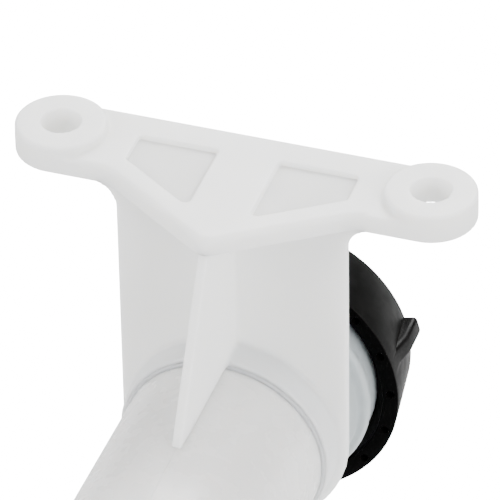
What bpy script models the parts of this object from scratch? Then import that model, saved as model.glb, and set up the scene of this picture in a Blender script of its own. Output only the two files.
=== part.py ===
"""Bracketed filler neck for a boat: a moulded bracket, an outlet elbow and a screw cap.

X runs along the two bolt holes, Y runs along the filler neck towards the cap, Z is up.
Sizes are metres.  The origin is midway between the two bolt holes, on the plane of the pads.
"""
import math

import bmesh
import bpy
from mathutils import Matrix, Vector

# Bolt pads and flange
HOLE_SPACING = 0.0760
HOLE_D = 0.0080
BOSS_WALL = 0.00525
BOSS_H = 0.0020
FLANGE_T = 0.0042
NOSE_Y = -0.0264
NOSE_SLOPE = 0.677
NOSE_R = 0.0032
SHOULDER_R = 0.0090
EDGE_R = 0.0010
SOFT_EDGE_R = 0.0008
POCKET_DEPTH = 0.0011
POCKET_R = 0.0012
CENTRE_RIB_W = 0.0122
POCKET_SIDE_WALL = 0.00605
POCKET_BACK_WALL = 0.0064
POCKET_NOSE_WALL = 0.0047

# Hanging web and gusset
WEB_MARGIN = 0.00175
WEB_T = 0.0020
WEB_SET_BACK = 0.0001
WEB_FILLET_R = 0.0046
GUSSET_T = 0.0020
GUSSET_REACH = 0.0281
GUSSET_NOSE_SET_BACK = 0.0008
NECK_DROP = 0.0615

# Collar, neck and thread
BORE_D = 0.0365
NECK_WALL = 0.00395
COLLAR_WALL = 0.0011
COLLAR_L = 0.0066
SOCKET_L = 0.0080
STOP_STAND = 0.0019
STOP_Y = 0.0042
STOP_T = 0.0020
THREADED_L = 0.0141
THREAD_PITCH = 0.0040
THREAD_H = 0.0012
THREAD_ROOT_W = 0.0022
THREAD_CREST_W = 0.0009
THREAD_TURNS = 1.5
THREAD_START = 0.0055
THREAD_FADE = 0.12
THREAD_END_SHARE = 0.12

# Outlet elbow and hose tail
TUBE_WALL = 0.00235
TUBE_FLARE = 0.0012
TUBE_LEAD_IN = 0.0004
STRAIGHT_L = 0.0435
BEND_R = 0.0300
BEND_STEPS = 8
LAND_L = 0.0050
TAIL_D = 0.0381
TAIL_L = 0.0330
TAIL_WALL = 0.00255
TAIL_CHAMFER = 0.0010
BARB_H = 0.0013
BARB_COUNT = 3
BARB_LEAD = 0.0060
BARB_CREST_SHARE = 0.12
BARB_RAMP_SHARE = 0.9

# Cap and its liner
CAP_STAND_OFF = 0.0022
CAP_MOUTH_STEP = 0.0016
CAP_MOUTH_WALL = 0.0034
CAP_MOUTH_RELIEF = 0.0016
CAP_CROWN_WALL = 0.0025
CAP_CROWN_T = 0.0030
CAP_EDGE_R = 0.0012
CAP_DISH_INSET = 0.0065
CAP_DISH_DEPTH = 0.0006
CAP_THREAD_TURNS = 1.2
LUG_COUNT = 4
LUG_TURN = -15.0
LUG_W = 0.0040
LUG_STAND = 0.0030
LUG_FLAT_L = 0.0074
LUG_RUN_OUT = 0.0050
LUG_INSET = 0.0002
LUG_SOFT = 0.0008
CORE_COUNT = 18
CORE_TURN = 3.0
CORE_D = 0.0018
CORE_DEPTH = 0.0050
LINER_T = 0.0014
LINER_SOFT = 0.0003
LIP_T = 0.0006

# Fits
TOUCH_GAP = 0.0003
THREAD_GAP = 0.0006
LINER_GRIP = 0.0006
BOSS_INSET = 0.00005
OVERLAP = 0.0008

# Facets
ROUND = 48
SMALL_ROUND = 24
TURN_STEPS = 48
ARC_STEP = math.radians(9)
SHARP_ANGLE = math.radians(32)
SIDE_COSINE = 0.9

PAD_R = HOLE_D / 2 + BOSS_WALL
FLANGE_TOP = -BOSS_H
FLANGE_BOTTOM = -BOSS_H - FLANGE_T
AXIS_Z = -NECK_DROP
TUBE_D = BORE_D + 2 * TUBE_WALL
TUBE_END_D = TUBE_D + TUBE_FLARE
TAIL_BORE_D = TAIL_D - 2 * TAIL_WALL
COLLAR_D = TUBE_D + 2 * (TOUCH_GAP + COLLAR_WALL)
NECK_D = BORE_D + 2 * NECK_WALL
STOP_D = NECK_D + 2 * STOP_STAND
WEB_W = COLLAR_D + 2 * WEB_MARGIN
WEB_Y = -PAD_R + WEB_SET_BACK
WEB_BACK_Y = WEB_Y + WEB_T
COLLAR_Y = WEB_Y - COLLAR_L
SOCKET_END_Y = COLLAR_Y + SOCKET_L
TUBE_IN_Y = SOCKET_END_Y - TOUCH_GAP
STOP_END_Y = STOP_Y + STOP_T
NECK_END_Y = STOP_END_Y + THREADED_L
LINER_Y = NECK_END_Y + TOUCH_GAP
CAP_INSIDE_Y = LINER_Y + LINER_T + TOUCH_GAP
CAP_CROWN_Y = CAP_INSIDE_Y + CAP_CROWN_T
CAP_MOUTH_Y = STOP_END_Y + CAP_STAND_OFF
CAP_WALL_R = NECK_D / 2 + THREAD_H + THREAD_GAP
CAP_MOUTH_BORE_R = CAP_WALL_R + CAP_MOUTH_STEP
CAP_MOUTH_R = CAP_MOUTH_BORE_R + CAP_MOUTH_WALL
CAP_CROWN_R = CAP_WALL_R + CAP_CROWN_WALL
LIP_R = NECK_D / 2 + THREAD_GAP
LINER_R = LIP_R + LINER_GRIP


def clear_scene():
    for item in list(bpy.data.objects):
        bpy.data.objects.remove(item, do_unlink=True)


def plastic(name, colour, roughness):
    material = bpy.data.materials.new(name)
    material.use_nodes = True
    shader = material.node_tree.nodes["Principled BSDF"]
    shader.inputs["Base Color"].default_value = (*colour, 1.0)
    shader.inputs["Roughness"].default_value = roughness
    shader.inputs["Metallic"].default_value = 0.0
    return material


def finish(name, bm, parent, material=None, location=(0, 0, 0)):
    """Turn a bmesh into a named object that hangs under the root."""
    bmesh.ops.remove_doubles(bm, verts=bm.verts, dist=1e-7)
    bmesh.ops.recalc_face_normals(bm, faces=bm.faces)
    mesh = bpy.data.meshes.new(name)
    bm.to_mesh(mesh)
    bm.free()
    mesh.shade_smooth()
    mesh.set_sharp_from_angle(angle=SHARP_ANGLE)
    item = bpy.data.objects.new(name, mesh)
    item.location = location
    item.parent = parent
    bpy.context.scene.collection.objects.link(item)
    if material:
        mesh.materials.append(material)
    return item


def hide_tool(item):
    item.hide_render = True
    item.display_type = "WIRE"


def combine(target, tool, operation):
    """Add, or cut away, one shape; the tool stays in the file as a guide."""
    hide_tool(tool)
    step = target.modifiers.new(tool.name, "BOOLEAN")
    step.operation = operation
    step.solver = "EXACT"
    step.object = tool


def rounded_outline(corners):
    """Corners are (a, b, radius); each becomes an arc tangent to both its sides."""
    points = []
    for index, (a, b, radius) in enumerate(corners):
        corner = Vector((a, b))
        before = (Vector(corners[index - 1][:2]) - corner).normalized()
        after = (Vector(corners[(index + 1) % len(corners)][:2]) - corner).normalized()
        if radius == 0:
            points.append(corner)
            continue
        half = before.angle(after) / 2
        centre = corner + (before + after).normalized() * radius / math.sin(half)
        start = corner + before * radius / math.tan(half) - centre
        sweep = math.pi - 2 * half
        turn = 1 if before.x * after.y - before.y * after.x < 0 else -1
        steps = max(2, round(sweep / ARC_STEP))
        for step in range(steps + 1):
            angle = turn * sweep * step / steps
            points.append(centre + Matrix.Rotation(angle, 2) @ start)
    return [p for i, p in enumerate(points) if (p - points[i - 1]).length > 1e-6]


def prism(points, place, depth, edge=0.0):
    """Extrude an outline; place turns (a, b, height) into a 3-D point."""
    bm = bmesh.new()
    low = bm.faces.new([bm.verts.new(place(p.x, p.y, 0.0)) for p in points])
    offset = Vector(place(0, 0, depth)) - Vector(place(0, 0, 0))
    extruded = bmesh.ops.extrude_face_region(bm, geom=[low], use_keep_orig=True)
    top = [v for v in extruded["geom"] if isinstance(v, bmesh.types.BMVert)]
    bmesh.ops.translate(bm, verts=top, vec=offset)
    if edge:
        rims = [e for e in bm.edges if not is_side_edge(e, offset)]
        bmesh.ops.bevel(bm, geom=rims, offset=edge, segments=3, profile=0.5,
                        affect="EDGES", clamp_overlap=True)
    return bm


def is_side_edge(edge, offset):
    run = (edge.verts[1].co - edge.verts[0].co).normalized()
    return abs(run.dot(offset.normalized())) > SIDE_COSINE


def turned(profile, segments=ROUND):
    """Spin (radius, y) points about the Y axis into a closed solid."""
    bm = bmesh.new()
    verts = [bm.verts.new((radius, y, 0.0)) for radius, y in profile]
    edges = [bm.edges.new(pair) for pair in zip(verts, verts[1:])]
    bmesh.ops.spin(bm, geom=verts + edges, cent=(0, 0, 0), axis=(0, 1, 0),
                   angle=math.tau, steps=segments, use_duplicate=False)
    bmesh.ops.remove_doubles(bm, verts=bm.verts, dist=1e-6)
    return bm


def thread_ridge(root_r, crest_r, start_y, turns):
    """A right-hand ridge about Y that fades in and out at its ends."""
    bm = bmesh.new()
    steps = round(turns * TURN_STEPS)
    rings = []
    for step in range(steps + 1):
        along = step / steps
        fade = min(1.0, along / THREAD_FADE, (1 - along) / THREAD_FADE)
        crest = root_r + (crest_r - root_r) * (THREAD_END_SHARE + (1 - THREAD_END_SHARE) * fade)
        angle = turns * math.tau * along
        y = start_y + THREAD_PITCH * turns * along
        section = [(root_r, -THREAD_ROOT_W / 2), (crest, -THREAD_CREST_W / 2),
                   (crest, THREAD_CREST_W / 2), (root_r, THREAD_ROOT_W / 2)]
        rings.append([bm.verts.new((r * math.sin(angle), y + shift, r * math.cos(angle)))
                      for r, shift in section])
    for first, second in zip(rings, rings[1:]):
        skin(bm, first, second)
    bm.faces.new(rings[0])
    bm.faces.new(rings[-1])
    return bm


def circle(bm, centre, side, up, radius, segments=ROUND):
    verts = []
    for step in range(segments):
        angle = math.tau * step / segments
        verts.append(bm.verts.new(centre + side * radius * math.cos(angle) + up * radius * math.sin(angle)))
    return verts


def skin(bm, first, second):
    for index in range(len(first)):
        after = (index + 1) % len(first)
        bm.faces.new((first[index], first[after], second[after], second[index]))


def make_flange(root, material):
    shoulder_x = (NOSE_Y + PAD_R) / -NOSE_SLOPE
    ear_x = HOLE_SPACING / 2 + PAD_R
    outline = rounded_outline([
        (-ear_x, PAD_R, PAD_R), (-ear_x, -PAD_R, PAD_R), (-shoulder_x, -PAD_R, SHOULDER_R),
        (0, NOSE_Y, NOSE_R), (shoulder_x, -PAD_R, SHOULDER_R), (ear_x, -PAD_R, PAD_R),
        (ear_x, PAD_R, PAD_R)])
    bm = prism(outline, lambda a, b, h: (a, b, FLANGE_BOTTOM + h), FLANGE_T, EDGE_R)
    return finish("bracket_body", bm, root, material)


def make_bosses(root):
    bm = bmesh.new()
    height = BOSS_H + FLANGE_T / 2
    for side in (-1, 1):
        place = Matrix.Translation((side * HOLE_SPACING / 2, 0, -height / 2))
        bmesh.ops.create_cone(bm, cap_ends=True, segments=ROUND, depth=height,
                              radius1=PAD_R - BOSS_INSET, radius2=PAD_R - BOSS_INSET, matrix=place)
    tops = [e for e in bm.edges if all(abs(v.co.z) < 1e-6 for v in e.verts)]
    bmesh.ops.bevel(bm, geom=tops, offset=SOFT_EDGE_R, segments=3, profile=0.5, affect="EDGES")
    return finish("boss_shape", bm, root)


def make_web(root):
    half = WEB_W / 2
    inside = FLANGE_BOTTOM + OVERLAP
    outer = half + WEB_FILLET_R + OVERLAP
    outline = rounded_outline([
        (-outer, inside + OVERLAP, 0), (-outer, inside, 0), (-half, inside, WEB_FILLET_R + OVERLAP),
        (-half, AXIS_Z - half, half), (half, AXIS_Z - half, half),
        (half, inside, WEB_FILLET_R + OVERLAP), (outer, inside, 0), (outer, inside + OVERLAP, 0)])
    bm = prism(outline, lambda a, b, h: (a, WEB_Y + h, b), WEB_T)
    return finish("web_shape", bm, root)


def make_gusset(root):
    top = FLANGE_BOTTOM + OVERLAP
    nose = NOSE_Y + GUSSET_NOSE_SET_BACK
    foot_y = COLLAR_Y - GUSSET_REACH
    crown = AXIS_Z + TUBE_END_D / 2
    outline = [Vector(p) for p in (
        (WEB_Y + WEB_T / 2, top), (nose + OVERLAP, top), (nose, FLANGE_BOTTOM), (foot_y, crown),
        (foot_y, crown - OVERLAP), (WEB_Y + WEB_T / 2, crown - OVERLAP))]
    bm = prism(outline, lambda a, b, h: (h - GUSSET_T / 2, a, b), GUSSET_T)
    return finish("gusset_shape", bm, root)


def make_neck(root):
    neck_r = NECK_D / 2
    stop_r = STOP_D / 2
    soft = SOFT_EDGE_R
    profile = [
        (0, COLLAR_Y), (COLLAR_D / 2 - soft / 2, COLLAR_Y), (COLLAR_D / 2, COLLAR_Y + soft / 2),
        (COLLAR_D / 2, WEB_BACK_Y), (neck_r, WEB_BACK_Y + OVERLAP), (neck_r, STOP_Y),
        (stop_r - soft, STOP_Y), (stop_r - soft / 4, STOP_Y + soft / 4), (stop_r, STOP_Y + soft),
        (stop_r, STOP_END_Y), (neck_r, STOP_END_Y), (neck_r, NECK_END_Y - soft),
        (neck_r - soft, NECK_END_Y), (0, NECK_END_Y)]
    return finish("neck_shape", turned(profile), root, location=(0, 0, AXIS_Z))


def make_male_thread(root):
    neck_r = NECK_D / 2
    bm = thread_ridge(neck_r - THREAD_H / 4, neck_r + THREAD_H, STOP_END_Y + THREAD_START, THREAD_TURNS)
    return finish("neck_thread_shape", bm, root, location=(0, 0, AXIS_Z))


def make_bore_cutter(root):
    """The bore, the socket for the elbow, and the space that the elbow tube takes."""
    grown = (TUBE_END_D - TUBE_D) / 2
    bore_r = BORE_D / 2
    socket_r = TUBE_D / 2 + TOUCH_GAP
    far_y = TUBE_IN_Y - STRAIGHT_L
    profile = [
        (0, NECK_END_Y + OVERLAP), (bore_r, NECK_END_Y + OVERLAP), (bore_r, SOCKET_END_Y),
        (socket_r, SOCKET_END_Y), (socket_r, COLLAR_Y), (socket_r + grown, far_y), (0, far_y)]
    return finish("bore_cutter", turned(profile), root, location=(0, 0, AXIS_Z))


def make_hole_cutter(root):
    bm = bmesh.new()
    depth = BOSS_H + FLANGE_T + 2 * OVERLAP
    for side in (-1, 1):
        place = Matrix.Translation((side * HOLE_SPACING / 2, 0, OVERLAP - depth / 2))
        bmesh.ops.create_cone(bm, cap_ends=True, segments=SMALL_ROUND * 2, depth=depth,
                              radius1=HOLE_D / 2, radius2=HOLE_D / 2, matrix=place)
    return finish("bolt_hole_cutter", bm, root)


def make_pocket_cutter(root):
    """Two shallow recesses, one each side of the middle rib."""
    near_x = CENTRE_RIB_W / 2
    far_x = HOLE_SPACING / 2 - PAD_R - POCKET_SIDE_WALL
    back_y = PAD_R - POCKET_BACK_WALL
    lift = POCKET_NOSE_WALL / math.cos(math.atan(NOSE_SLOPE))
    bm = bmesh.new()
    for side in (-1, 1):
        corners = [
            (near_x, back_y, POCKET_R), (far_x, back_y, POCKET_R),
            (far_x, NOSE_Y + NOSE_SLOPE * far_x + lift, POCKET_R),
            (near_x, NOSE_Y + NOSE_SLOPE * near_x + lift, POCKET_R)]
        outline = rounded_outline([(side * a, b, r) for a, b, r in corners])
        shape = prism(outline, lambda a, b, h: (a, b, FLANGE_TOP - POCKET_DEPTH + h),
                      POCKET_DEPTH + OVERLAP)
        spare = bpy.data.meshes.new("pocket")
        shape.to_mesh(spare)
        shape.free()
        bm.from_mesh(spare)
        bpy.data.meshes.remove(spare)
    return finish("pocket_cutter", bm, root)


def make_bracket(root, material):
    body = make_flange(root, material)
    for make in (make_bosses, make_web, make_gusset, make_neck, make_male_thread):
        combine(body, make(root), "UNION")
    for make in (make_hole_cutter, make_pocket_cutter, make_bore_cutter):
        combine(body, make(root), "DIFFERENCE")
    return body


def elbow_stations():
    """Centre, lean from the neck's axis, and outer radius along the tube."""
    tube_r = TUBE_D / 2
    end_r = TUBE_END_D / 2
    stations = [(0.0, 0.0, 0.0, tube_r - TUBE_LEAD_IN), (-2 * TUBE_LEAD_IN, 0.0, 0.0, tube_r),
                (COLLAR_Y - TUBE_IN_Y, 0.0, 0.0, tube_r), (-STRAIGHT_L, 0.0, 0.0, end_r)]
    for step in range(1, BEND_STEPS + 1):
        lean = math.pi / 2 * step / BEND_STEPS
        y = -STRAIGHT_L - BEND_R * math.sin(lean)
        z = -BEND_R * (1 - math.cos(lean))
        stations.append((y, z, lean, end_r))
    return stations


def tail_profile():
    """Distance past the bend and outer radius, down the hose tail."""
    end_r = TUBE_END_D / 2
    tail_r = TAIL_D / 2
    pitch = (TAIL_L - BARB_LEAD) / BARB_COUNT
    profile = [(LAND_L - EDGE_R, end_r), (LAND_L, end_r - EDGE_R), (LAND_L, tail_r)]
    for index in range(BARB_COUNT):
        top = LAND_L + BARB_LEAD + index * pitch
        profile.append((top, tail_r))
        profile.append((top, tail_r + BARB_H))
        profile.append((top + pitch * BARB_CREST_SHARE, tail_r + BARB_H))
        last = index == BARB_COUNT - 1
        foot = top + pitch - TAIL_CHAMFER if last else top + pitch * BARB_RAMP_SHARE
        profile.append((foot, tail_r))
    profile.append((LAND_L + TAIL_L, tail_r - TAIL_CHAMFER))
    return profile


def make_elbow(root, material):
    bm = bmesh.new()
    side = Vector((1, 0, 0))
    outer = []
    inner = []
    for y, z, lean, radius in elbow_stations():
        up = Vector((0, -math.sin(lean), math.cos(lean)))
        outer.append(circle(bm, Vector((0, y, z)), side, up, radius))
        inner.append(circle(bm, Vector((0, y, z)), side, up, BORE_D / 2))
    down_up = Vector((0, -1, 0))
    foot = Vector((0, -STRAIGHT_L - BEND_R, -BEND_R))
    for drop, radius in tail_profile():
        outer.append(circle(bm, foot - Vector((0, 0, drop)), side, down_up, radius))
    for drop, radius in ((LAND_L, BORE_D / 2), (2 * LAND_L, TAIL_BORE_D / 2),
                         (LAND_L + TAIL_L, TAIL_BORE_D / 2)):
        inner.append(circle(bm, foot - Vector((0, 0, drop)), side, down_up, radius))
    for rings in (outer, inner):
        for first, second in zip(rings, rings[1:]):
            skin(bm, first, second)
    skin(bm, outer[0], inner[0])
    skin(bm, outer[-1], inner[-1])
    return finish("elbow_tube", bm, root, material, location=(0, TUBE_IN_Y, AXIS_Z))


def skirt_r(y):
    share = (y - CAP_MOUTH_Y) / (CAP_CROWN_Y - CAP_MOUTH_Y)
    return CAP_MOUTH_R + (CAP_CROWN_R - CAP_MOUTH_R) * share


def cap_profile():
    soft = CAP_EDGE_R
    dish_r = CAP_CROWN_R - CAP_DISH_INSET
    lip_y = LINER_Y - TOUCH_GAP
    relief_y = CAP_MOUTH_Y + CAP_MOUTH_RELIEF
    points = [
        (0, CAP_CROWN_Y - CAP_DISH_DEPTH), (dish_r - soft, CAP_CROWN_Y - CAP_DISH_DEPTH),
        (dish_r, CAP_CROWN_Y)]
    for step in range(4):
        angle = math.pi / 2 * step / 3
        points.append((CAP_CROWN_R - soft + soft * math.sin(angle), CAP_CROWN_Y - soft + soft * math.cos(angle)))
    points += [
        (CAP_MOUTH_R, CAP_MOUTH_Y + soft / 4), (CAP_MOUTH_R - soft / 4, CAP_MOUTH_Y),
        (CAP_MOUTH_BORE_R, CAP_MOUTH_Y), (CAP_MOUTH_BORE_R, relief_y),
        (CAP_WALL_R, relief_y + CAP_MOUTH_RELIEF / 2), (CAP_WALL_R, lip_y - 2 * LIP_T),
        (LIP_R, lip_y - LIP_T), (LIP_R, lip_y), (LINER_R + TOUCH_GAP, lip_y),
        (LINER_R + TOUCH_GAP, CAP_INSIDE_Y), (0, CAP_INSIDE_Y)]
    return [(r, y - CAP_MOUTH_Y) for r, y in points]


def make_lugs(root):
    """Grip lugs, full height at the crown and running out down the skirt."""
    peak = skirt_r(CAP_CROWN_Y) + LUG_STAND
    inner = CAP_WALL_R + OVERLAP
    soft = LUG_SOFT
    end_y = CAP_CROWN_Y - LUG_INSET
    flat_y = CAP_CROWN_Y - LUG_FLAT_L
    run_y = flat_y - LUG_RUN_OUT
    stations = ((end_y, peak - soft), (end_y - soft, peak), (flat_y, peak), (run_y, skirt_r(run_y)))
    bm = bmesh.new()
    for index in range(LUG_COUNT):
        spin = Matrix.Rotation(math.radians(LUG_TURN + index * 360.0 / LUG_COUNT), 3, "Y")
        rows = []
        for y, r in stations:
            half = LUG_W / 2
            section = [(inner, -half), (r - soft, -half), (r, soft - half), (r, half - soft),
                       (r - soft, half), (inner, half)]
            rows.append([bm.verts.new(spin @ Vector((a, y - CAP_MOUTH_Y, b))) for a, b in section])
        for first, second in zip(rows, rows[1:]):
            skin(bm, first, second)
        bm.faces.new(rows[0])
        bm.faces.new(rows[-1])
    return finish("lug_shape", bm, root, location=(0, CAP_MOUTH_Y, AXIS_Z))


def make_core_cutter(root):
    """Small blind cores in the cap's mouth face."""
    bm = bmesh.new()
    ring_r = CAP_MOUTH_R - CAP_MOUTH_WALL / 2
    upright = Matrix.Rotation(math.pi / 2, 4, "X")
    for index in range(CORE_COUNT):
        angle = math.radians(CORE_TURN + index * 360.0 / CORE_COUNT)
        spot = Vector((ring_r * math.cos(angle), (CORE_DEPTH - OVERLAP) / 2, ring_r * math.sin(angle)))
        bmesh.ops.create_cone(bm, cap_ends=True, segments=10, depth=CORE_DEPTH + OVERLAP,
                              radius1=CORE_D / 2, radius2=CORE_D / 2,
                              matrix=Matrix.Translation(spot) @ upright)
    return finish("core_cutter", bm, root, location=(0, CAP_MOUTH_Y, AXIS_Z))


def make_female_thread(root):
    start = STOP_END_Y + THREAD_START + THREAD_PITCH / 2 - CAP_MOUTH_Y
    crest = NECK_D / 2 + THREAD_GAP
    bm = thread_ridge(CAP_WALL_R + THREAD_H / 4, crest, start, CAP_THREAD_TURNS)
    return finish("cap_thread_shape", bm, root, location=(0, CAP_MOUTH_Y, AXIS_Z))


def make_cap(root, material):
    cap = finish("cap_shell", turned(cap_profile()), root, material, location=(0, CAP_MOUTH_Y, AXIS_Z))
    combine(cap, make_lugs(root), "UNION")
    combine(cap, make_female_thread(root), "UNION")
    combine(cap, make_core_cutter(root), "DIFFERENCE")
    return cap


def make_liner(root, material):
    soft = LINER_SOFT
    profile = [(0, 0), (LINER_R - soft, 0), (LINER_R, soft), (LINER_R, LINER_T - soft),
               (LINER_R - soft, LINER_T), (0, LINER_T)]
    return finish("cap_liner", turned(profile), root, material, location=(0, LINER_Y, AXIS_Z))


def build():
    clear_scene()
    root = bpy.data.objects.new("bolt_pad_middle", None)
    bpy.context.scene.collection.objects.link(root)
    milky = plastic("milky_moulding", (0.80, 0.82, 0.81), 0.42)
    glossy = plastic("glossy_tube", (0.78, 0.77, 0.75), 0.25)
    black = plastic("black_cap", (0.020, 0.020, 0.022), 0.45)
    rubber = plastic("liner_rubber", (0.10, 0.10, 0.10), 0.75)
    make_bracket(root, milky)
    make_elbow(root, glossy)
    make_cap(root, black)
    make_liner(root, rubber)


build()
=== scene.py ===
"""A filler neck on a bolt-on bracket, with its elbow and its black screw cap."""

import math

import bpy
from mathutils import Matrix, Vector


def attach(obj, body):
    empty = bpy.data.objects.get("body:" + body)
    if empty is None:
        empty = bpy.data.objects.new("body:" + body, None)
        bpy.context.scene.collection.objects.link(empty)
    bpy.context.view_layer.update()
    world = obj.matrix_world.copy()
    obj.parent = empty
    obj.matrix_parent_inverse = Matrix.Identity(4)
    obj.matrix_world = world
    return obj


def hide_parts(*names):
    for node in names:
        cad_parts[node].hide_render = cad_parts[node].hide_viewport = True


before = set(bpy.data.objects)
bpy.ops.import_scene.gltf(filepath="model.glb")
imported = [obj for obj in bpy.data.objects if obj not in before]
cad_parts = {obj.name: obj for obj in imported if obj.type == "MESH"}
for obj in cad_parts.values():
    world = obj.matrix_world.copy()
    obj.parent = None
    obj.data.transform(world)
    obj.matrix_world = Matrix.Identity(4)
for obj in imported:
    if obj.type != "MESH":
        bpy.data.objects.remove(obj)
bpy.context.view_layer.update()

# Sizes in metres. The origin is midway between the bolt holes, on the pads' top plane.
HOLE_X = 0.0380
HOLE_R = 0.0040
PAD_R = 0.00925
BOSS_R = 0.0092
FLANGE_TOP = -0.0020
FLANGE_BOTTOM = -0.0062
NOSE_Y = -0.0264
NOSE_SLOPE = 0.677
NOSE_R = 0.0034
SHOULDER_R = 0.0090
BACK_ROUND = 0.0005
NOSE_ROUND = 0.0015
BOTTOM_ROUND = 0.00025
BOSS_ROUND = 0.0006
POCKET_DEEP = 0.0010
POCKET_NEAR_X = 0.0062
POCKET_FAR_X = 0.02275
POCKET_BACK_Y = 0.00285
POCKET_NOSE_WALL = 0.0047
POCKET_R = 0.0012
BOSS_ROOT = 0.0020
POCKET_FLOOR_BAND = 0.00035
FLANGE_GRAIN = 0.00030
FLANGE_PASSES = 2

AXIS_Z = -0.0615
WEB_FRONT = -0.00915
WEB_BACK = -0.00715
WEB_HALF = 0.02375
EAR_FILLET_R = 0.0055
EAR_BLEND = 0.0002
EAR_RUN = 0.0008
WEB_ROOT = 0.0015
GUSSET_HALF = 0.0010
GUSSET_FOOT_Y = -0.0439
GUSSET_FOOT_Z = -0.0403
GUSSET_LIP = 0.0008
GUSSET_TOP_INSET = 0.001
COLLAR_R = 0.0220
COLLAR_FRONT = -0.01575
NECK_R = 0.0222
NECK_END = 0.0203
STOP_R = 0.0241
STOP_FRONT = 0.0042
STOP_BACK = 0.0062
LAND_R = 0.0237
LAND_BACK = 0.0118
NECK_SOFT = 0.0004
STOP_SOFT = 0.0008
STOP_CORNER = 0.0002
STOP_FACE_ROUND = 0.0003
NECK_CHAMFER = 0.0008
NECK_SHADE_GAP = 0.0010
NECK_GRAIN = 0.00048
NECK_PASSES = 3
BORE_R = 0.01825
SOCKET_END = -0.00775
SOCKET_R = 0.0207
SOCKET_FLARE = 0.0003
SOCKET_MOUTH_Y = -0.052
THREAD_PITCH = 0.0040
THREAD_HIGH = 0.0012
THREAD_SECTION = 0.0010
THREAD_ROOT_SHARE = 2
THREAD_CREST_SHARE = 0.45
THREAD_STEPS_PER_TURN = 96
NECK_THREAD_ROOT_R = NECK_R - 0.0006
NECK_THREAD_START = STOP_BACK + 0.0055
NECK_THREAD_TURNS = 1.5
BEAD_RING_R = 0.0208
BEAD_R = 0.00050
BEAD_Y = COLLAR_FRONT + 0.0001

TUBE_R = 0.0206
TUBE_END_R = 0.0212
TUBE_START = -0.00805
BEND_START = -0.05155
BEND_R = 0.0300
BEND_CENTRE_Z = AXIS_Z - BEND_R
TAIL_Y = BEND_START - BEND_R
LAND_END = BEND_CENTRE_Z - 0.0050
TAIL_R = 0.01905
TAIL_BORE_R = 0.0165
TAIL_END = -0.1295
BARB_HIGH = 0.0013
BARB_CREST = 0.0010
BARB_RAMP_END = 0.0076
BARB_SOFT = 0.0002
LAND_ROUND = ((0.0012, 0.0), (0.0005, 0.0002), (0.0001, 0.0006), (0.0, 0.0012))
LAND_FILLET = 0.0003
TAIL_CHAMFER = 0.0008
BORE_STEP_L = 0.0050
BEND_STEPS = 32
BARB_TOPS = (-0.1025, -0.1115, -0.1205)

CAP_MOUTH = 0.0084
CAP_CROWN = 0.0253
CAP_MOUTH_R = 0.0290
CAP_CROWN_R = 0.0269
CAP_MOUTH_BORE_R = 0.0256
CAP_WALL_R = 0.0240
CAP_CEILING = 0.0223
LINER_SEAT_R = 0.0237
LIP_R = 0.0228
LINER_FACE = 0.0203
LUG_ANGLE = 15.0
LUG_WIDE = 0.0040
LUG_ROUND = 0.0010
LUG_PEAK_R = 0.0295
LUG_FLAT = 0.0074
LUG_RUN_OUT = 0.0050
CORE_COUNT = 18
CORE_R = 0.0009
CORE_DEEP = 0.0050
CORE_TURN = 3
SEAT_GAP = 0.0003
LIP_END = 0.0009
LIP_SLOPE_END = 0.0015
MOUTH_SLOPE_END = 0.0024
MOUTH_BORE_END = 0.0016
MOUTH_FINE = 0.0001
MOUTH_INNER_ROUND = 0.0003
MOUTH_OUTER_ROUND = 0.0004
CROWN_ROUND = 0.0012
CROWN_MID = 0.0006
CROWN_FINE = 0.00016
DISH_RINGS = ((0.0206, 0.0), (0.0202, 0.0002), (0.0198, 0.0006), (0.0190, 0.0006))
CAP_SIDES = 192
LUG_COUNT = 4
LUG_ROOT = 0.0010
LUG_INSET = 0.0002
LUG_FOOT_SINK = 0.0001
MOUTH_FACE_BAND = 0.0003
CAP_THREAD_ROOT_R = CAP_WALL_R + 0.0003
CAP_THREAD_CREST_R = NECK_R + 0.0006
CAP_THREAD_START = STOP_BACK + 0.0075
CAP_THREAD_TURNS = 1.2

ALONG_Y = (math.pi / 2, 0.0, 0.0)
SHARP = math.radians(30)
LUG_SHARP = math.radians(25)
ARC_STEP = math.radians(7)
MERGE = 0.000002
LEVEL = 0.00002
BEYOND = 0.001
FACING = 0.8

MILKY_ROUGHNESS = (0.44, 0.54)
TUBE_ROUGHNESS = (0.22, 0.30)
BLACK_ROUGHNESS = (0.36, 0.46)
RUBBER_ROUGHNESS = (0.60, 0.74)
COARSE_GRAIN = 260.0
FINE_GRAIN = 1900.0
CLOUD_GRAIN = 34.0
SCUFF_GRAIN = 900.0
SCUFF_PATCHES = 90.0
SEAM_HALF_WIDTH = 0.00022
FLOOR_WIDE = 30
FLOOR_DROP = 0.0010
LIT_POINT = (0, 0, -0.05)


def only(piece):
    """Leaves this the one selected and active object."""
    bpy.ops.object.select_all(action="DESELECT")
    piece.select_set(True)
    bpy.context.view_layer.objects.active = piece


def settle(name):
    """Names the active object and puts its place and size into its mesh."""
    piece = bpy.context.object
    piece.name = name
    piece.data.name = name
    only(piece)
    bpy.ops.object.transform_apply(location=True, rotation=True, scale=True)
    return piece


def block(name, low, high):
    """A box between two corners."""
    low = Vector(low)
    high = Vector(high)
    bpy.ops.object.select_all(action="DESELECT")
    bpy.ops.mesh.primitive_cube_add(size=1, location=(low + high) / 2, scale=high - low)
    return settle(name)


def rod(name, radius, low, high, place, upright=True, sides=64):
    """A cylinder along Z at (x, y), or along Y at (x, z)."""
    middle = (low + high) / 2
    where = (place[0], place[1], middle) if upright else (place[0], middle, place[1])
    bpy.ops.object.select_all(action="DESELECT")
    bpy.ops.mesh.primitive_cylinder_add(
        vertices=sides, radius=radius, depth=high - low, location=where,
        rotation=(0, 0, 0) if upright else ALONG_Y)
    return settle(name)


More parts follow.
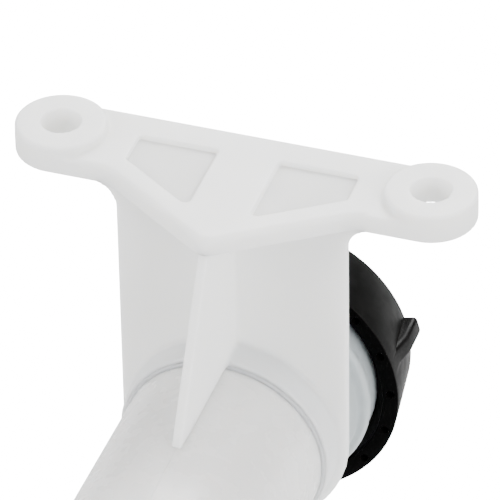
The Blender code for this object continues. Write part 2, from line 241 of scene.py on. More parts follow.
def modify(piece, kind, **settings):
    """Adds one modifier and applies it."""
    only(piece)
    added = piece.modifiers.new(kind.lower(), kind)
    for key, value in settings.items():
        setattr(added, key, value)
    bpy.ops.object.modifier_apply(modifier=added.name)


def combine(piece, tool, how):
    """Joins the tool to the piece, or cuts it away."""
    modify(piece, "BOOLEAN", object=tool, operation=how, solver="EXACT")
    bpy.data.objects.remove(tool, do_unlink=True)


def tidy_faces(piece):
    """Merges doubles and turns every face outward."""
    only(piece)
    bpy.ops.object.mode_set(mode="EDIT")
    bpy.ops.mesh.select_all(action="SELECT")
    bpy.ops.mesh.remove_doubles(threshold=MERGE)
    bpy.ops.mesh.normals_make_consistent(inside=False)
    bpy.ops.object.mode_set(mode="OBJECT")


def smooth(piece, angle=SHARP):
    """Smooth shading that keeps true corners sharp."""
    only(piece)
    bpy.ops.object.shade_smooth_by_angle(angle=angle)


def arc_corners(corners):
    """Rounds each (a, b, radius) corner of an outline into short steps."""
    points = []
    for index, (a, b, radius) in enumerate(corners):
        corner = Vector((a, b))
        before = (Vector(corners[index - 1][:2]) - corner).normalized()
        after = (Vector(corners[(index + 1) % len(corners)][:2]) - corner).normalized()
        if radius == 0:
            points.append(corner)
            continue
        half = before.angle(after) / 2
        centre = corner + (before + after).normalized() * radius / math.sin(half)
        start = corner + before * radius / math.tan(half) - centre
        sweep = math.pi - 2 * half
        turn = 1 if before.x * after.y - before.y * after.x < 0 else -1
        steps = max(2, round(sweep / ARC_STEP))
        for step in range(steps + 1):
            points.append(centre + Matrix.Rotation(turn * sweep * step / steps, 2) @ start)
    return [p for i, p in enumerate(points) if (p - points[i - 1]).length > MERGE]


def plate(name, outline, place, thick):
    """Traces an outline from one point, fills it and pulls it up to its thickness."""
    spots = [Vector(place(p.x, p.y)) for p in outline]
    bpy.ops.object.select_all(action="DESELECT")
    bpy.ops.mesh.primitive_plane_add(size=0.001, location=spots[0])
    settle(name)
    bpy.ops.object.mode_set(mode="EDIT")
    bpy.ops.mesh.select_all(action="SELECT")
    bpy.ops.mesh.merge(type="CENTER")
    for before, after in zip(spots, spots[1:]):
        bpy.ops.mesh.extrude_region_move(TRANSFORM_OT_translate={"value": after - before})
    bpy.ops.mesh.select_all(action="SELECT")
    bpy.ops.mesh.edge_face_add()
    bpy.ops.mesh.extrude_region_move(TRANSFORM_OT_translate={"value": thick})
    bpy.ops.object.mode_set(mode="OBJECT")
    piece = bpy.context.object
    tidy_faces(piece)
    return piece


def round_body(name, rings, sides=128, filled=True):
    """A round body about the neck's axis, pulled up ring by ring from (radius, y) pairs."""
    radius, y = rings[0]
    bpy.ops.object.select_all(action="DESELECT")
    bpy.ops.mesh.primitive_circle_add(
        vertices=sides, radius=radius, location=(0, y, AXIS_Z), rotation=ALONG_Y,
        fill_type="NGON" if filled else "NOTHING")
    settle(name)
    bpy.ops.object.mode_set(mode="EDIT")
    bpy.ops.mesh.select_all(action="SELECT")
    for next_radius, next_y in rings[1:]:
        bpy.ops.mesh.extrude_region_move(TRANSFORM_OT_translate={"value": (0, next_y - y, 0)})
        share = next_radius / radius
        bpy.ops.transform.resize(value=(share, 1, share), center_override=(0, next_y, AXIS_Z))
        radius = next_radius
        y = next_y
    bpy.ops.object.mode_set(mode="OBJECT")
    piece = bpy.context.object
    tidy_faces(piece)
    return piece


def thread(name, root_r, crest_r, start, turns):
    """A helical ridge about the neck's axis, screwed up from one small section."""
    bpy.ops.object.select_all(action="DESELECT")
    middle = (0, 0, (root_r + crest_r) / 2)
    bpy.ops.mesh.primitive_plane_add(size=THREAD_SECTION, location=middle, rotation=(0, math.pi / 2, 0))
    piece = settle(name)
    bpy.ops.object.mode_set(mode="EDIT")
    bpy.ops.mesh.select_all(action="SELECT")
    bpy.ops.transform.resize(value=(1, THREAD_ROOT_SHARE, abs(crest_r - root_r) / THREAD_SECTION),
                             center_override=middle)
    bpy.ops.mesh.select_all(action="DESELECT")
    bpy.ops.object.mode_set(mode="OBJECT")
    for vertex in piece.data.vertices:
        vertex.select = abs(vertex.co.z - crest_r) < abs(vertex.co.z - root_r)
    bpy.ops.object.mode_set(mode="EDIT")
    bpy.ops.transform.resize(value=(1, THREAD_CREST_SHARE, 1), center_override=(0, 0, crest_r))
    bpy.ops.object.mode_set(mode="OBJECT")
    modify(piece, "SCREW", axis="Y", angle=math.tau * turns, screw_offset=THREAD_PITCH * turns,
           steps=round(THREAD_STEPS_PER_TURN * turns),
           render_steps=round(THREAD_STEPS_PER_TURN * turns), use_smooth_shade=True)
    bpy.ops.object.mode_set(mode="EDIT")
    bpy.ops.mesh.select_all(action="SELECT")
    bpy.ops.transform.translate(value=(0, start, AXIS_Z))
    bpy.ops.object.mode_set(mode="OBJECT")
    tidy_faces(piece)
    return piece


def soften(piece, grain, passes):
    """Gives a joined-up body the soft inner and outer corners of a moulding."""
    modify(piece, "REMESH", mode="VOXEL", voxel_size=grain, adaptivity=0.0)
    modify(piece, "SMOOTH", factor=0.5, iterations=passes)
    tidy_faces(piece)
    only(piece)
    bpy.ops.object.shade_smooth()


# ---------------------------------------------------------------- finishes


def group(name, outputs, inputs=()):
    """A node group with named inputs and outputs."""
    made = bpy.data.node_groups.new(name, "ShaderNodeTree")
    for label, value in inputs:
        socket = made.interface.new_socket(label, in_out="INPUT", socket_type="NodeSocketFloat")
        socket.default_value = value
    for label in outputs:
        made.interface.new_socket(label, in_out="OUTPUT", socket_type="NodeSocketFloat")
    return made, made.nodes.new("NodeGroupInput"), made.nodes.new("NodeGroupOutput")


def noise(tree, place, scale, detail=2.0, roughness=0.5):
    """The value of one noise texture at a place."""
    node = tree.nodes.new("ShaderNodeTexNoise")
    node.inputs["Scale"].default_value = scale
    node.inputs["Detail"].default_value = detail
    node.inputs["Roughness"].default_value = roughness
    tree.links.new(place, node.inputs["Vector"])
    return node.outputs["Fac"]


def sums(tree, how, first, second):
    """One step of arithmetic on two numbers or sockets."""
    node = tree.nodes.new("ShaderNodeMath")
    node.operation = how
    for slot_number, value in enumerate((first, second)):
        if isinstance(value, (int, float)):
            node.inputs[slot_number].default_value = value
        else:
            tree.links.new(value, node.inputs[slot_number])
    return node.outputs[0]


def spread(tree, value, low, high, to_low, to_high):
    """Eases a value from one range into another."""
    node = tree.nodes.new("ShaderNodeMapRange")
    node.interpolation_type = "SMOOTHSTEP"
    for label, number in (("From Min", low), ("From Max", high), ("To Min", to_low), ("To Max", to_high)):
        node.inputs[label].default_value = number
    tree.links.new(value, node.inputs["Value"])
    return node.outputs["Result"]


def make_skin_group():
    """The faint ripple and grain of a moulded face: a height and a mask."""
    tree, _, out = group("moulded skin", ("Height", "Mask"))
    place = tree.nodes.new("ShaderNodeTexCoord").outputs["Object"]
    coarse = noise(tree, place, COARSE_GRAIN, 2.0)
    fine = noise(tree, place, FINE_GRAIN, 3.0, 0.6)
    tree.links.new(sums(tree, "ADD", sums(tree, "MULTIPLY", coarse, 0.7), sums(tree, "MULTIPLY", fine, 0.3)),
                   out.inputs["Height"])
    tree.links.new(spread(tree, coarse, 0.3, 0.7, 0.0, 1.0), out.inputs["Mask"])
    return tree


def make_cloud_group():
    """Slow drifts of tone through the resin."""
    tree, _, out = group("resin clouding", ("Cloud",))
    place = tree.nodes.new("ShaderNodeTexCoord").outputs["Object"]
    cloud = noise(tree, place, CLOUD_GRAIN, 3.0, 0.55)
    tree.links.new(spread(tree, cloud, 0.32, 0.68, 0.0, 1.0), out.inputs["Cloud"])
    return tree


def make_seam_group():
    """The mould's parting line down the middle plane of the elbow."""
    tree, given, out = group("parting line", ("Height",), (("Half width", SEAM_HALF_WIDTH),))
    place = tree.nodes.new("ShaderNodeTexCoord").outputs["Object"]
    parts = tree.nodes.new("ShaderNodeSeparateXYZ")
    tree.links.new(place, parts.inputs["Vector"])
    far = sums(tree, "ABSOLUTE", parts.outputs["X"], 0.0)
    share = sums(tree, "DIVIDE", far, given.outputs["Half width"])
    tree.links.new(spread(tree, share, 0.0, 1.0, 1.0, 0.0), out.inputs["Height"])
    return tree


def make_scuff_group():
    """Fine handling scuffs on black plastic."""
    tree, _, out = group("handling scuffs", ("Mask",))
    place = tree.nodes.new("ShaderNodeTexCoord").outputs["Object"]
    stretched = tree.nodes.new("ShaderNodeMapping")
    stretched.inputs["Scale"].default_value = (1.0, 0.25, 1.0)
    stretched.inputs["Rotation"].default_value = (0.5, 0.3, 0.7)
    tree.links.new(place, stretched.inputs["Vector"])
    marks = noise(tree, stretched.outputs["Vector"], SCUFF_GRAIN, 4.0, 0.65)
    patches = noise(tree, place, SCUFF_PATCHES, 2.0)
    mask = sums(tree, "MULTIPLY", spread(tree, marks, 0.56, 0.72, 0.0, 1.0),
                spread(tree, patches, 0.45, 0.65, 0.0, 1.0))
    tree.links.new(mask, out.inputs["Mask"])
    return tree


SKIN = make_skin_group()
CLOUD = make_cloud_group()
SEAM = make_seam_group()
SCUFF = make_scuff_group()


def use(tree, shared):
    """Puts a shared node group into a material."""
    node = tree.nodes.new("ShaderNodeGroup")
    node.node_tree = shared
    return node


def new_finish(name, sockets):
    """A material with one Principled shader and its constants set."""
    made = bpy.data.materials.new(name)
    made.use_nodes = True
    tree = made.node_tree
    tree.nodes.clear()
    out = tree.nodes.new("ShaderNodeOutputMaterial")
    shader = tree.nodes.new("ShaderNodeBsdfPrincipled")
    tree.links.new(shader.outputs["BSDF"], out.inputs["Surface"])
    for label, value in sockets.items():
        shader.inputs[label].default_value = value
    return made, tree, shader


def two_tone(tree, shader, mask, first, second):
    """Colours the shader between two tones by a mask."""
    mix = tree.nodes.new("ShaderNodeMix")
    mix.data_type = "RGBA"
    mix.inputs["A"].default_value = (*first, 1.0)
    mix.inputs["B"].default_value = (*second, 1.0)
    tree.links.new(mask, mix.inputs["Factor"])
    tree.links.new(mix.outputs["Result"], shader.inputs["Base Color"])


def bumped(tree, shader, height, strength, distance):
    """Raises the shader's surface by a height."""
    bump = tree.nodes.new("ShaderNodeBump")
    bump.inputs["Strength"].default_value = strength
    bump.inputs["Distance"].default_value = distance
    tree.links.new(height, bump.inputs["Height"])
    tree.links.new(bump.outputs["Normal"], shader.inputs["Normal"])


def milky_plastic(name, shade=(1.0, 1.0, 1.0)):
    """Slightly see-through white plastic; the shade argument scales its colour down, which paints shade onto
    faces that lie in shade.
    """
    made, tree, shader = new_finish(name, {
        "IOR": 1.5, "Subsurface Weight": 1.0, "Subsurface Radius": (1.0, 0.96, 0.9),
        "Subsurface Scale": 0.0045})
    skin = use(tree, SKIN)
    cloud = use(tree, CLOUD)
    tones = (0.822, 0.826, 0.818), (0.845, 0.845, 0.832)
    two_tone(tree, shader, cloud.outputs["Cloud"], *([a * b for a, b in zip(shade, tone)] for tone in tones))
    tree.links.new(spread(tree, skin.outputs["Mask"], 0.0, 1.0, *MILKY_ROUGHNESS), shader.inputs["Roughness"])
    bumped(tree, shader, skin.outputs["Height"], 0.12, 0.0002)
    return made


def tube_plastic():
    made, tree, shader = new_finish("glossy tube plastic", {
        "IOR": 1.5, "Subsurface Weight": 1.0, "Subsurface Radius": (1.0, 0.92, 0.88),
        "Subsurface Scale": 0.0040})
    skin = use(tree, SKIN)
    cloud = use(tree, CLOUD)
    seam = use(tree, SEAM)
    two_tone(tree, shader, cloud.outputs["Cloud"], (0.775, 0.763, 0.750), (0.80, 0.788, 0.772))
    tree.links.new(spread(tree, skin.outputs["Mask"], 0.0, 1.0, *TUBE_ROUGHNESS), shader.inputs["Roughness"])
    height = sums(tree, "ADD", sums(tree, "MULTIPLY", skin.outputs["Height"], 0.04), seam.outputs["Height"])
    bumped(tree, shader, height, 0.6, 0.00012)
    return made


def black_plastic(name, shine, first, second):
    """Dull black plastic with faint scuffs of a paler tone."""
    made, tree, shader = new_finish(name, {"IOR": 1.5, "Specular IOR Level": shine})
    skin = use(tree, SKIN)
    scuff = use(tree, SCUFF)
    two_tone(tree, shader, scuff.outputs["Mask"], first, second)
    tree.links.new(spread(tree, skin.outputs["Mask"], 0.0, 1.0, *BLACK_ROUGHNESS), shader.inputs["Roughness"])
    bumped(tree, shader, skin.outputs["Height"], 0.25, 0.00015)
    return made


def liner_rubber():
    made, tree, shader = new_finish("grey liner rubber", {"IOR": 1.45})
    skin = use(tree, SKIN)
    cloud = use(tree, CLOUD)
    two_tone(tree, shader, cloud.outputs["Cloud"], (0.11, 0.11, 0.115), (0.145, 0.145, 0.15))
    dullness = spread(tree, skin.outputs["Mask"], 0.0, 1.0, *RUBBER_ROUGHNESS)
    tree.links.new(dullness, shader.inputs["Roughness"])
    bumped(tree, shader, skin.outputs["Height"], 0.25, 0.0002)
    return made


def floor_paint():
    """Pale paint that glows a little, and shows brighter than it lights."""
    made, tree, shader = new_finish("pale floor paint", {"Roughness": 0.9, "Emission Strength": 16.0})
    cloud = use(tree, CLOUD)
    two_tone(tree, shader, cloud.outputs["Cloud"], (0.44, 0.44, 0.44), (0.46, 0.46, 0.46))
    glow = tree.nodes.new("ShaderNodeMix")
    glow.name = "floor glow"
    glow.data_type = "RGBA"
    glow.inputs["A"].default_value = (0.0385, 0.0385, 0.0385, 1.0)
    glow.inputs["B"].default_value = (1.0, 1.0, 1.0, 1.0)
    tree.links.new(tree.nodes.new("ShaderNodeLightPath").outputs["Is Camera Ray"], glow.inputs["Factor"])
    tree.links.new(glow.outputs["Result"], shader.inputs["Emission Color"])
    return made


MILKY = milky_plastic("milky bracket plastic")
# Painted shade: the pocket floors are darkened to stand in for the shade in the recesses.
POCKET_PAINTED_SHADE = milky_plastic("milky plastic with painted pocket shade", (0.80, 0.80, 0.80))
# Painted shade: the neck behind the web is darkened and cooled to stand in for the shade it lies in.
NECK_PAINTED_SHADE = milky_plastic("milky neck plastic with painted shade", (0.42, 0.46, 0.48))
TUBE = tube_plastic()
BLACK = black_plastic("black cap plastic", 0.07, (0.0018, 0.0017, 0.0016), (0.0070, 0.0068, 0.0066))
# Painted shade: the cap's mouth-ring faces are darkened and dulled to stand in for less light on them.
MOUTH_PAINTED_SHADE = black_plastic("black cap plastic with painted mouth shade", 0.02, (0.0005, 0.0005, 0.0005), (0.0012, 0.0012, 0.0011))
RUBBER = liner_rubber()
PALE = floor_paint()


def coat(piece, finish):
    """Gives the piece its one finish."""
    piece.data.materials.clear()
    piece.data.materials.append(finish)


# ---------------------------------------------------------------- bracket


def flange_outline():
    shoulder_x = (NOSE_Y + PAD_R) / -NOSE_SLOPE
    ear_x = HOLE_X + PAD_R
    return arc_corners([
        (-ear_x, PAD_R, PAD_R), (-ear_x, -PAD_R, PAD_R), (-shoulder_x, -PAD_R, SHOULDER_R),
        (0, NOSE_Y, NOSE_R), (shoulder_x, -PAD_R, SHOULDER_R), (ear_x, -PAD_R, PAD_R),
        (ear_x, PAD_R, PAD_R)])


def pocket_outline(side):
    lift = POCKET_NOSE_WALL / math.cos(math.atan(NOSE_SLOPE))
    corners = [
        (POCKET_NEAR_X, POCKET_BACK_Y), (POCKET_FAR_X, POCKET_BACK_Y),
        (POCKET_FAR_X, NOSE_Y + NOSE_SLOPE * POCKET_FAR_X + lift),
        (POCKET_NEAR_X, NOSE_Y + NOSE_SLOPE * POCKET_NEAR_X + lift)]
    return arc_corners([(side * a, b, POCKET_R) for a, b in corners])


def round_rims(piece, height, width, rings, first_y=-1.0, last_y=1.0):
    """Rounds the rim that lies at one height, between two places along Y."""
    only(piece)
    bpy.ops.object.mode_set(mode="EDIT")
    bpy.ops.mesh.select_mode(type="EDGE")
    bpy.ops.mesh.select_all(action="DESELECT")
    bpy.ops.object.mode_set(mode="OBJECT")
    spots = piece.data.vertices
    for edge in piece.data.edges:
        level = all(abs(spots[v].co.z - height) < LEVEL for v in edge.vertices)
        y = sum(spots[v].co.y for v in edge.vertices) / 2
        edge.select = level and first_y < y < last_y
    bpy.ops.object.mode_set(mode="EDIT")
    bpy.ops.mesh.bevel(offset=width, segments=rings, profile=0.5, affect="EDGES")
    bpy.ops.mesh.select_mode(type="VERT")
    bpy.ops.object.mode_set(mode="OBJECT")


def make_flange():
    flange = plate("bracket_flange", flange_outline(), lambda a, b: (a, b, FLANGE_BOTTOM),
                   (0, 0, FLANGE_TOP - FLANGE_BOTTOM))
    round_rims(flange, FLANGE_TOP, BACK_ROUND, 4, first_y=-PAD_R)
    round_rims(flange, FLANGE_TOP, NOSE_ROUND, 5, last_y=-PAD_R)
    round_rims(flange, FLANGE_BOTTOM, BOTTOM_ROUND, 3)
    for side in (-1, 1):
        boss = rod("boss", BOSS_R, FLANGE_TOP - BOSS_ROOT, 0.0, (side * HOLE_X, 0), sides=96)
        round_rims(boss, 0.0, BOSS_ROUND, 4)
        combine(flange, boss, "UNION")
    for side in (-1, 1):
        pocket = plate("pocket", pocket_outline(side), lambda a, b: (a, b, FLANGE_TOP - POCKET_DEEP),
                       (0, 0, 2 * POCKET_DEEP))
        combine(flange, pocket, "DIFFERENCE")
    for side in (-1, 1):
        hole = rod("hole", HOLE_R, FLANGE_BOTTOM - BEYOND, BEYOND, (side * HOLE_X, 0), sides=64)
        combine(flange, hole, "DIFFERENCE")
    soften(flange, FLANGE_GRAIN, FLANGE_PASSES)
    return flange


def second_finish(piece, finish, chosen):
    """Puts a second finish on the faces that are chosen."""
    piece.data.materials.append(finish)
    for face in piece.data.polygons:
        if chosen(face):
            face.material_index = 1


def on_pocket_floor(face):
    """Faces on the floors of the two pockets, which get painted shade."""
    return face.normal.z > FACING and abs(face.center.z - FLANGE_TOP + POCKET_DEEP) < POCKET_FLOOR_BAND


def behind_web(face):
    """Faces of the neck, behind the web, which get painted shade."""
    return face.center.y > WEB_BACK + NECK_SHADE_GAP


def on_cap_mouth(face):
    """Faces of the cap's mouth ring, which get painted shade."""
    return face.normal.y < -FACING and face.center.y < CAP_MOUTH + MOUTH_FACE_BAND


def make_web():
    top = FLANGE_BOTTOM + WEB_ROOT
    blend = FLANGE_BOTTOM + EAR_BLEND
    outer = WEB_HALF + EAR_FILLET_R + EAR_RUN
    web_outline = arc_corners([
        (-outer, top, 0), (-outer, blend, 0), (-WEB_HALF, blend, EAR_FILLET_R),
        (-WEB_HALF, AXIS_Z - WEB_HALF, WEB_HALF), (WEB_HALF, AXIS_Z - WEB_HALF, WEB_HALF),
        (WEB_HALF, blend, EAR_FILLET_R), (outer, blend, 0), (outer, top, 0)])
    web = plate("bracket_web_and_neck", web_outline, lambda a, b: (a, WEB_FRONT, b),
                (0, WEB_BACK - WEB_FRONT, 0))
    inside = (WEB_FRONT + WEB_BACK) / 2
    nose = NOSE_Y + NOSE_R / 4
    gusset_outline = [Vector(p) for p in (
        (inside, top), (nose + GUSSET_TOP_INSET, top), (nose, FLANGE_BOTTOM), (GUSSET_FOOT_Y, GUSSET_FOOT_Z),
        (GUSSET_FOOT_Y, GUSSET_FOOT_Z - GUSSET_LIP), (inside, GUSSET_FOOT_Z - GUSSET_LIP))]
    gusset = plate("gusset", gusset_outline, lambda a, b: (-GUSSET_HALF, a, b), (2 * GUSSET_HALF, 0, 0))
    combine(web, gusset, "UNION")
    neck = round_body("neck", [
        (COLLAR_R - NECK_SOFT, COLLAR_FRONT), (COLLAR_R, COLLAR_FRONT + NECK_SOFT),
        (COLLAR_R, WEB_BACK), (NECK_R, WEB_BACK + NECK_SOFT), (NECK_R, STOP_FRONT),
        (STOP_R - STOP_SOFT, STOP_FRONT), (STOP_R - STOP_CORNER, STOP_FRONT + STOP_FACE_ROUND),
        (STOP_R, STOP_FRONT + STOP_SOFT), (STOP_R, STOP_BACK - STOP_CORNER),
        (STOP_R - STOP_CORNER, STOP_BACK), (LAND_R, STOP_BACK), (LAND_R, LAND_BACK),
        (NECK_R, LAND_BACK + NECK_SOFT), (NECK_R, NECK_END - NECK_CHAMFER),
        (NECK_R - NECK_CHAMFER, NECK_END)])
    combine(web, neck, "UNION")
    bore = round_body("bore", [
        (TUBE_END_R + SOCKET_FLARE, SOCKET_MOUTH_Y), (SOCKET_R, COLLAR_FRONT), (SOCKET_R, SOCKET_END),
        (BORE_R, SOCKET_END), (BORE_R, NECK_END + 0.002)], sides=96)
    combine(web, bore, "DIFFERENCE")
    soften(web, NECK_GRAIN, NECK_PASSES)
    return web


def make_neck_thread():
    return thread("neck_thread", NECK_THREAD_ROOT_R, NECK_R + THREAD_HIGH, NECK_THREAD_START,
                  NECK_THREAD_TURNS)


def make_weld_bead():
    """The bead that closes the joint where the elbow enters the collar."""
    bpy.ops.object.select_all(action="DESELECT")
    bpy.ops.mesh.primitive_torus_add(
        major_radius=BEAD_RING_R, minor_radius=BEAD_R, major_segments=160, minor_segments=16,
        location=(0, BEAD_Y, AXIS_Z), rotation=ALONG_Y)
    bead = settle("collar_bead")
    only(bead)
    bpy.ops.object.shade_smooth()
    return bead


# ---------------------------------------------------------------- elbow


def pull(step, radius, next_radius, centre):
    """Pulls the selected ring on by one step and scales it about its new centre."""
    bpy.ops.mesh.extrude_region_move(TRANSFORM_OT_translate={"value": step})
    share = next_radius / radius
    if abs(share - 1) > 0.000001:
        along_z = abs(step[2]) > abs(step[1]) or (step[1] == 0 and abs(centre[2] - AXIS_Z) > 0.001)
        value = (share, share, 1) if along_z else (share, 1, share)
        bpy.ops.transform.resize(value=value, center_override=centre)


def tail_rings():
    """Height and radius down the outside of the hose tail."""
    rings = [(LAND_END + rise, TUBE_END_R - inset) for rise, inset in LAND_ROUND]
    rings += [(LAND_END, TAIL_R + LAND_FILLET), (LAND_END - LAND_FILLET, TAIL_R)]
    crest_r = TAIL_R + BARB_HIGH
    for top in BARB_TOPS:
        rings += [(top, TAIL_R), (top, crest_r - BARB_SOFT), (top - BARB_SOFT, crest_r),
                  (top - BARB_CREST, crest_r), (top - BARB_RAMP_END, TAIL_R)]
    return rings + [(TAIL_END + TAIL_CHAMFER, TAIL_R), (TAIL_END, TAIL_R - TAIL_CHAMFER)]


def make_elbow():
    """One skin: outside of the tube, round the bend, down the tail and back up the inside."""
    bpy.ops.object.select_all(action="DESELECT")
    bpy.ops.mesh.primitive_circle_add(
        vertices=128, radius=TUBE_R, location=(0, TUBE_START, AXIS_Z), rotation=ALONG_Y)
    elbow = settle("elbow_moulding")
    bpy.ops.object.mode_set(mode="EDIT")
    bpy.ops.mesh.select_all(action="SELECT")
    pull((0, COLLAR_FRONT - TUBE_START, 0), TUBE_R, TUBE_R, (0, COLLAR_FRONT, AXIS_Z))
    pull((0, BEND_START - COLLAR_FRONT, 0), TUBE_R, TUBE_END_R, (0, BEND_START, AXIS_Z))
    bend_centre = (0, BEND_START, BEND_CENTRE_Z)
    bpy.ops.mesh.spin(steps=BEND_STEPS, angle=-math.pi / 2, center=bend_centre, axis=(1, 0, 0))
    height = BEND_CENTRE_Z
    radius = TUBE_END_R
    for next_height, next_radius in tail_rings():
        pull((0, 0, next_height - height), radius, next_radius, (0, TAIL_Y, next_height))
        height = next_height
        radius = next_radius
    for next_height, next_radius in ((TAIL_END, TAIL_BORE_R), (LAND_END - BORE_STEP_L, TAIL_BORE_R),
                                     (LAND_END, BORE_R), (BEND_CENTRE_Z, BORE_R)):
        pull((0, 0, next_height - height), radius, next_radius, (0, TAIL_Y, next_height))
        height = next_height
        radius = next_radius
    bpy.ops.mesh.spin(steps=BEND_STEPS, angle=math.pi / 2, center=bend_centre, axis=(1, 0, 0))
    pull((0, TUBE_START - BEND_START, 0), BORE_R, BORE_R, (0, TUBE_START, AXIS_Z))
    bpy.ops.mesh.select_all(action="DESELECT")
    bpy.ops.mesh.select_non_manifold()
    bpy.ops.mesh.bridge_edge_loops()
    bpy.ops.object.mode_set(mode="OBJECT")
    tidy_faces(elbow)
    smooth(elbow)
    return elbow


# ---------------------------------------------------------------- cap


def make_lug():
    """One grip lug, standing out along +X and running out down the skirt."""
    inner = CAP_WALL_R + LUG_ROOT
    run_end = CAP_CROWN - LUG_FLAT - LUG_RUN_OUT
    lug = block("lug", (inner, run_end - BEYOND, AXIS_Z - LUG_WIDE / 2),
                (LUG_PEAK_R, CAP_CROWN - LUG_INSET, AXIS_Z + LUG_WIDE / 2))
    share = (run_end - CAP_MOUTH) / (CAP_CROWN - CAP_MOUTH)
    foot_r = CAP_MOUTH_R + (CAP_CROWN_R - CAP_MOUTH_R) * share - LUG_FOOT_SINK
    slope = Vector((LUG_PEAK_R - foot_r, LUG_RUN_OUT, 0)).normalized()
    bpy.ops.object.mode_set(mode="EDIT")
    bpy.ops.mesh.select_all(action="SELECT")
    bpy.ops.mesh.bisect(plane_co=(foot_r, run_end, AXIS_Z), plane_no=(slope.y, -slope.x, 0),
                        use_fill=True, clear_outer=True)
    bpy.ops.object.mode_set(mode="OBJECT")
    tidy_faces(lug)
    modify(lug, "BEVEL", width=LUG_ROUND, segments=5, limit_method="ANGLE", angle_limit=LUG_SHARP)
    return lug


def make_cap():
    """Crown and skirt in one turned body, with lugs and mouth cores."""
    seat_y = LINER_FACE - SEAT_GAP
    rings = [
        (LINER_SEAT_R, CAP_CEILING), (LINER_SEAT_R, seat_y), (LIP_R, seat_y),
        (LIP_R, LINER_FACE - LIP_END), (CAP_WALL_R, LINER_FACE - LIP_SLOPE_END),
        (CAP_WALL_R, CAP_MOUTH + MOUTH_SLOPE_END), (CAP_MOUTH_BORE_R, CAP_MOUTH + MOUTH_BORE_END),
        (CAP_MOUTH_BORE_R, CAP_MOUTH + MOUTH_INNER_ROUND),
        (CAP_MOUTH_BORE_R + MOUTH_FINE, CAP_MOUTH + MOUTH_FINE),
        (CAP_MOUTH_BORE_R + MOUTH_INNER_ROUND, CAP_MOUTH),
        (CAP_MOUTH_R - MOUTH_OUTER_ROUND, CAP_MOUTH),
        (CAP_MOUTH_R - MOUTH_FINE, CAP_MOUTH + MOUTH_FINE),
        (CAP_MOUTH_R, CAP_MOUTH + MOUTH_OUTER_ROUND), (CAP_CROWN_R, CAP_CROWN - CROWN_ROUND),
        (CAP_CROWN_R - CROWN_FINE, CAP_CROWN - CROWN_MID),
        (CAP_CROWN_R - CROWN_MID, CAP_CROWN - CROWN_FINE), (CAP_CROWN_R - CROWN_ROUND, CAP_CROWN)]
    rings += [(radius, CAP_CROWN - sink) for radius, sink in DISH_RINGS]
    cap = round_body("screw_cap", rings, sides=CAP_SIDES)
    pattern = make_lug()
    for index in range(LUG_COUNT):
        only(pattern)
        bpy.ops.object.duplicate()
        lug = bpy.context.object
        turn = math.radians(-LUG_ANGLE - 90 * index)
        bpy.ops.object.mode_set(mode="EDIT")
        bpy.ops.mesh.select_all(action="SELECT")
        bpy.ops.transform.rotate(value=-turn, orient_axis="Y", center_override=(0, 0, AXIS_Z))
        bpy.ops.object.mode_set(mode="OBJECT")
        combine(cap, lug, "UNION")
    bpy.data.objects.remove(pattern, do_unlink=True)
    ring_r = (CAP_MOUTH_R + CAP_MOUTH_BORE_R) / 2
    for index in range(CORE_COUNT):
        angle = math.radians(CORE_TURN + 360 / CORE_COUNT * index)
        core = rod("core", CORE_R, CAP_MOUTH - BEYOND, CAP_MOUTH + CORE_DEEP,
                   (ring_r * math.cos(angle), AXIS_Z + ring_r * math.sin(angle)), upright=False, sides=20)
        combine(cap, core, "DIFFERENCE")
    tidy_faces(cap)
    smooth(cap)
    return cap


def make_cap_thread():
    return thread("cap_thread", CAP_THREAD_ROOT_R, CAP_THREAD_CREST_R, CAP_THREAD_START, CAP_THREAD_TURNS)


# ---------------------------------------------------------------- build and dress

flange = make_flange()
web = make_web()
neck_thread = make_neck_thread()
bead = make_weld_bead()
for piece in (flange, web, neck_thread, bead):
    coat(piece, MILKY)
    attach(piece, "bracket")
# Painted shade on the pocket floors.
second_finish(flange, POCKET_PAINTED_SHADE, on_pocket_floor)
# Painted shade on the neck and its thread behind the web.
second_finish(web, NECK_PAINTED_SHADE, behind_web)
second_finish(neck_thread, NECK_PAINTED_SHADE, behind_web)
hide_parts("bracket_body")
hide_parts("bracket_body")

elbow = make_elbow()
coat(elbow, TUBE)
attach(elbow, "bracket")
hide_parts("elbow_tube")

cap = make_cap()
cap_thread = make_cap_thread()
for piece in (cap, cap_thread):
    coat(piece, BLACK)
    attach(piece, "cap")
# Painted shade on the cap's mouth-ring faces.
second_finish(cap, MOUTH_PAINTED_SHADE, on_cap_mouth)
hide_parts("cap_shell")

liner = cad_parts["cap_liner"]
liner.data.materials.clear()
liner.data.materials.append(RUBBER)

bpy.ops.object.select_all(action="DESELECT")
bpy.ops.mesh.primitive_plane_add(size=FLOOR_WIDE, location=(0, 0, TAIL_END - FLOOR_DROP))
floor = settle("pale_floor")
floor.data.materials.append(PALE)

# ---------------------------------------------------------------- light and camera

world = bpy.data.worlds.new("soft room")
bpy.context.scene.world = world
world.use_nodes = True
sky = world.node_tree.nodes["Background"]
sky.inputs["Color"].default_value = (1.0, 1.0, 1.0, 1.0)
sky.inputs["Strength"].default_value = 0.05


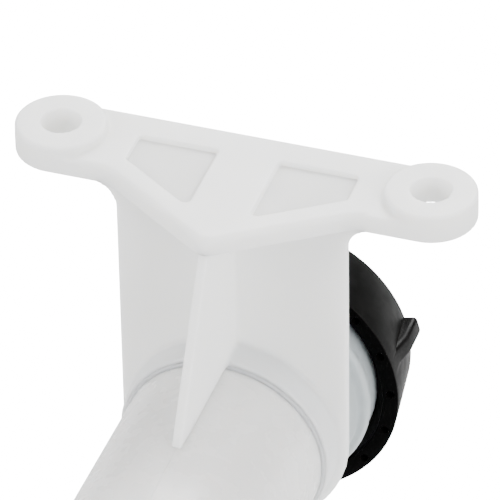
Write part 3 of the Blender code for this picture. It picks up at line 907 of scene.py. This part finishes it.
def soft_box(name, where, aim, wide, power):
    """A big square light that looks at a point."""
    lamp = bpy.data.lights.new(name, "AREA")
    lamp.shape = "SQUARE"
    lamp.size = wide
    lamp.energy = power
    stand = bpy.data.objects.new(name, lamp)
    bpy.context.collection.objects.link(stand)
    away = Vector(aim) - Vector(where)
    stand.matrix_world = Matrix.Translation(where) @ away.to_track_quat("-Z", "Y").to_matrix().to_4x4()
    stand.visible_camera = False
    return stand


soft_box("light_over_the_back", (0.0, 2.4, 2.2), LIT_POINT, 2.0, 225)
soft_box("light_overhead", (0.3, 0.5, 3.0), LIT_POINT, 1.2, 50)
soft_box("light_at_the_left", (-2.6, -2.0, 1.6), LIT_POINT, 1.6, 175)
soft_box("light_behind_left", (-2.6, 1.2, 1.8), LIT_POINT, 1.8, 16)
soft_box("light_at_the_right_front", (2.5, -1.9, 1.3), LIT_POINT, 1.6, 145)
soft_box("light_at_the_right", (3.0, 0.3, 1.2), LIT_POINT, 1.6, 60)

CAMERA_ACROSS = 0.0011009
CAMERA_DOWN = 0.018569
CAMERA_BACK = 1.03199
CAMERA_LENS_MM = 381.295
CAMERA_SENSOR_MM = 36.0
azimuth = math.radians(18.971)
elevation = math.radians(37.389)
roll = math.radians(-0.970)
right = Vector((math.cos(azimuth), math.sin(azimuth), 0))
away = Vector((-math.sin(azimuth), math.cos(azimuth), 0))
look = away * math.cos(elevation) - Vector((0, 0, 1)) * math.sin(elevation)
up = right.cross(look)
across = right * math.cos(roll) + up * math.sin(roll)
over = up * math.cos(roll) - right * math.sin(roll)
spot = across * CAMERA_ACROSS - over * CAMERA_DOWN - look * CAMERA_BACK
lens = bpy.data.cameras.new("studio_camera")
lens.sensor_width = CAMERA_SENSOR_MM
lens.lens = CAMERA_LENS_MM
lens.clip_start = 0.05
lens.clip_end = 60.0
camera = bpy.data.objects.new("studio_camera", lens)
bpy.context.collection.objects.link(camera)
camera.matrix_world = Matrix((
    (across.x, over.x, -look.x, spot.x),
    (across.y, over.y, -look.y, spot.y),
    (across.z, over.z, -look.z, spot.z),
    (0, 0, 0, 1)))
bpy.context.scene.camera = camera
